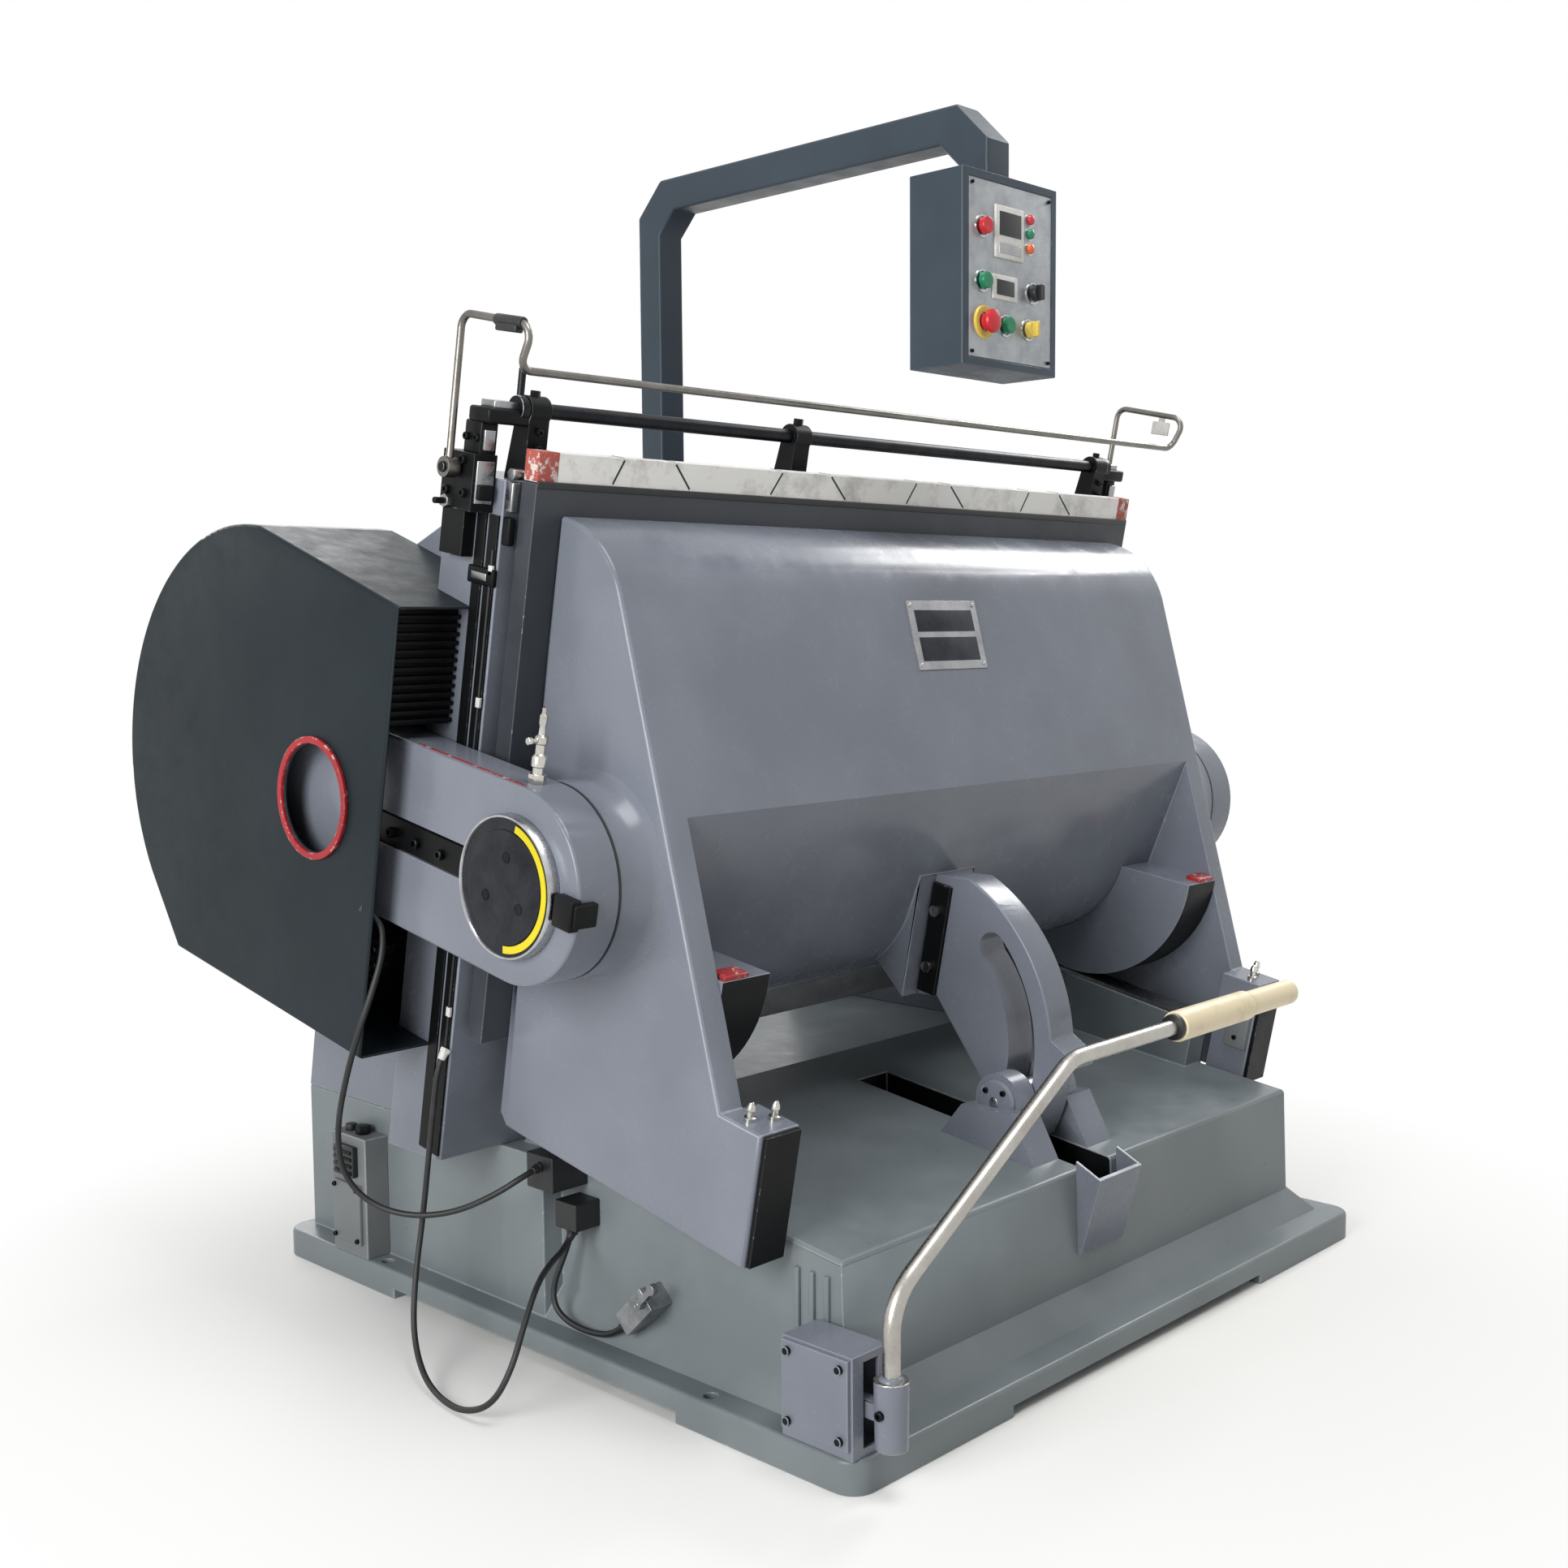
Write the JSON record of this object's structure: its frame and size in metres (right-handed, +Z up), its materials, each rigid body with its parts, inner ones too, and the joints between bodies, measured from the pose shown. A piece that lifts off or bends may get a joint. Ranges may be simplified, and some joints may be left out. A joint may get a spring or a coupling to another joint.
{
  "type": "die cutting machine",
  "caption": "Clamshell platen press for die-cutting board: swinging platen, side rods, crank and gear drive, clutch lever, guard bar and swivelling control box.",
  "frame": {"origin": "on the floor, in the middle of the four anchor holes", "axes": "+X to the operator's right, +Y from the operator to the back, +Z up"},
  "size_m": [1.9543, 1.6733, 2.116],
  "materials": {
    "body_paint": "satin blue-grey machine paint",
    "border_paint": "satin dark grey paint",
    "hood_paint": "satin dark slate paint",
    "arm_paint": "satin slate paint",
    "red_paint": "gloss red paint",
    "valve_paint": "beige-grey paint",
    "motor_paint": "grey motor paint",
    "bare_steel": "machined steel",
    "black_steel": "black oxide steel",
    "dark_iron": "oiled cast iron",
    "bronze": "bearing bronze",
    "plated_brass": "nickel-plated brass",
    "bright_chrome": "bright chrome",
    "dial_metal": "dark anodised aluminium",
    "cast_aluminium": "cast aluminium",
    "white_plastic": "white plastic",
    "cream_plastic": "cream moulded plastic",
    "black_plastic": "black moulded plastic",
    "red_plastic": "red plastic",
    "green_plastic": "green plastic",
    "lamp_plastic": "tinted lamp lenses",
    "black_rubber": "black rubber"
  },
  "bodies": {
    "press_frame": {"base_casting": "body_paint", "rocker_rails": "bare_steel", "left_side_frame": "body_paint", "right_side_frame": "body_paint", "bed_plate": "bare_steel", "side_rails": "black_steel", "rear_beam": "body_paint", "shaft_bushes": "bronze", "drive_motor": "motor_paint", "drive_belts": "black_rubber", "drive_hood": "hood_paint", "right_hood": "hood_paint", "hood_ring": "red_paint", "roller_bracket": "body_paint", "front_pocket": "body_paint", "top_brackets": "black_steel", "switch_box": "body_paint", "switch_box_cover": "black_steel", "valve_box": "valve_paint", "junction_box": "black_plastic", "cable_socket": "black_plastic", "limit_switch": "cast_aluminium", "hood_cable": "black_rubber", "floor_cable": "black_rubber", "switch_cable": "black_rubber"},
    "platen": {"platen_casting": "body_paint", "platen_plate": "border_paint", "guard_strip": "white_plastic", "rocker_segments": "bare_steel", "trunnion_pins": "bare_steel", "foot_shoes": "black_steel", "guide_arm": "body_paint", "guide_arm_clamp": "black_steel"},
    "left_rod": {"left_connecting_rod": "body_paint", "left_lubricator": "plated_brass"},
    "right_rod": {"right_connecting_rod": "body_paint", "right_lubricator": "plated_brass"},
    "left_dial": {"left_pressure_dial": "dial_metal"},
    "right_dial": {"right_pressure_dial": "dial_metal"},
    "crank": {"crank_shaft": "bare_steel", "bull_gear": "dark_iron", "crank_disc": "dark_iron"},
    "pinion": {"pinion_shaft": "bare_steel"},
    "flywheel": {"flywheel": "dark_iron"},
    "pulley": {"motor_pulley": "dark_iron"},
    "roller": {"guide_roller": "bare_steel"},
    "clamp": {"clamp_shaft": "bare_steel"},
    "trip_lever": {"limit_lever": "bare_steel"},
    "guard_bar": {"safety_bar": "bright_chrome"},
    "clutch": {"clutch_lever": "bright_chrome", "lever_grip": "cream_plastic"},
    "control": {"control_arm": "arm_paint", "control_box": "arm_paint", "panel_lamps": "lamp_plastic"},
    "stop": {"stop_button": "red_plastic"},
    "start": {"start_button": "green_plastic"},
    "inch": {"inch_button": "green_plastic"},
    "emergency": {"emergency_button": "red_plastic"},
    "selector": {"selector_knob": "black_plastic"},
    "key": {"key_knob": "black_plastic"}
  },
  "joints": [
    {"name": "platen_swing", "type": "hinge", "parent": "press_frame", "child": "platen", "pos_m": [0, -0.24287, 0.47767], "axis": [1, 0, 0], "range_deg": [0, 40]},
    {"name": "left_rod_turn", "type": "hinge", "parent": "platen", "child": "left_rod", "pos_m": [-0.87665, -0.21552, 0.83624], "axis": [1, 0, 0], "range_deg": [-39, 0.2]},
    {"name": "right_rod_turn", "type": "hinge", "parent": "platen", "child": "right_rod", "pos_m": [0.87665, -0.21552, 0.83624], "axis": [1, 0, 0], "range_deg": [-39, 0.2]},
    {"name": "crank_turn", "type": "hinge", "parent": "press_frame", "child": "crank", "pos_m": [0, 0.46376, 0.96828], "axis": [1, 0, 0], "range_deg": [-1, 182]},
    {"name": "pinion_turn", "type": "hinge", "parent": "press_frame", "child": "pinion", "pos_m": [0, 0.35698, 0.65815], "axis": [1, 0, 0], "range_deg": [-748, 1]},
    {"name": "flywheel_spin", "type": "hinge", "parent": "press_frame", "child": "flywheel", "pos_m": [-0.36, 0.35698, 0.65815], "axis": [1, 0, 0], "continuous": true},
    {"name": "pulley_spin", "type": "hinge", "parent": "press_frame", "child": "pulley", "pos_m": [-0.36, 0.655, 0.455], "axis": [1, 0, 0], "continuous": true},
    {"name": "roller_spin", "type": "hinge", "parent": "press_frame", "child": "roller", "pos_m": [0, -0.4906, 0.39237], "axis": [1, 0, 0], "continuous": true},
    {"name": "left_dial_turn", "type": "hinge", "parent": "left_rod", "child": "left_dial", "pos_m": [-0.925, -0.21552, 0.83624], "axis": [1, 0, 0], "range_deg": [-150, 150]},
    {"name": "right_dial_turn", "type": "hinge", "parent": "right_rod", "child": "right_dial", "pos_m": [0.925, -0.21552, 0.83624], "axis": [1, 0, 0], "range_deg": [-150, 150]},
    {"name": "guard_bar_lift", "type": "hinge", "parent": "press_frame", "child": "guard_bar", "pos_m": [0, -0.04365, 1.46662], "axis": [1, 0, 0], "range_deg": [-12, 0]},
    {"name": "clamp_turn", "type": "hinge", "parent": "press_frame", "child": "clamp", "pos_m": [0, -0.10494, 1.55658], "axis": [1, 0, 0], "range_deg": [0, 90]},
    {"name": "clutch_pull", "type": "hinge", "parent": "press_frame", "child": "clutch", "pos_m": [-0.705, -0.668, 0.121], "axis": [1, 0, 0], "range_deg": [-10, 10]},
    {"name": "trip_lever_turn", "type": "hinge", "parent": "press_frame", "child": "trip_lever", "pos_m": [-0.712, -0.25321, 0.14521], "axis": [1, 0, 0], "range_deg": [0, 25], "stiffness_Nm_per_rad": 0.5, "springref_deg": -5.73},
    {"name": "control_swivel", "type": "hinge", "parent": "press_frame", "child": "control", "pos_m": [0, 0.43776, 1.2], "axis": [0, 0, 1], "range_deg": [-25, 25]},
    {"name": "stop_press", "type": "slide", "parent": "control", "child": "stop", "axis": [0, 1, 0], "range_m": [0, 0.004], "stiffness_N_per_m": 400},
    {"name": "start_press", "type": "slide", "parent": "control", "child": "start", "axis": [0, 1, 0], "range_m": [0, 0.004], "stiffness_N_per_m": 400},
    {"name": "inch_press", "type": "slide", "parent": "control", "child": "inch", "axis": [0, 1, 0], "range_m": [0, 0.004], "stiffness_N_per_m": 400},
    {"name": "emergency_press", "type": "slide", "parent": "control", "child": "emergency", "axis": [0, 1, 0], "range_m": [0, 0.004], "stiffness_N_per_m": 400},
    {"name": "selector_turn", "type": "hinge", "parent": "control", "child": "selector", "pos_m": [0.062, -0.449, 1.793], "axis": [0, 1, 0], "range_deg": [-45, 45]},
    {"name": "key_turn", "type": "hinge", "parent": "control", "child": "key", "pos_m": [0.048, -0.449, 1.729], "axis": [0, 1, 0], "range_deg": [0, 90]}
  ],
  "couplings": [
    {"joint": "left_rod_turn", "follows": "platen_swing", "ratio": -0.9696},
    {"joint": "right_rod_turn", "follows": "platen_swing", "ratio": -0.9696},
    {"joint": "crank_turn", "follows": "platen_swing", "ratio": 4.5304},
    {"joint": "pinion_turn", "follows": "platen_swing", "ratio": -18.688},
    {"joint": "pulley_spin", "follows": "flywheel_spin", "ratio": 4.2197}
  ]
}
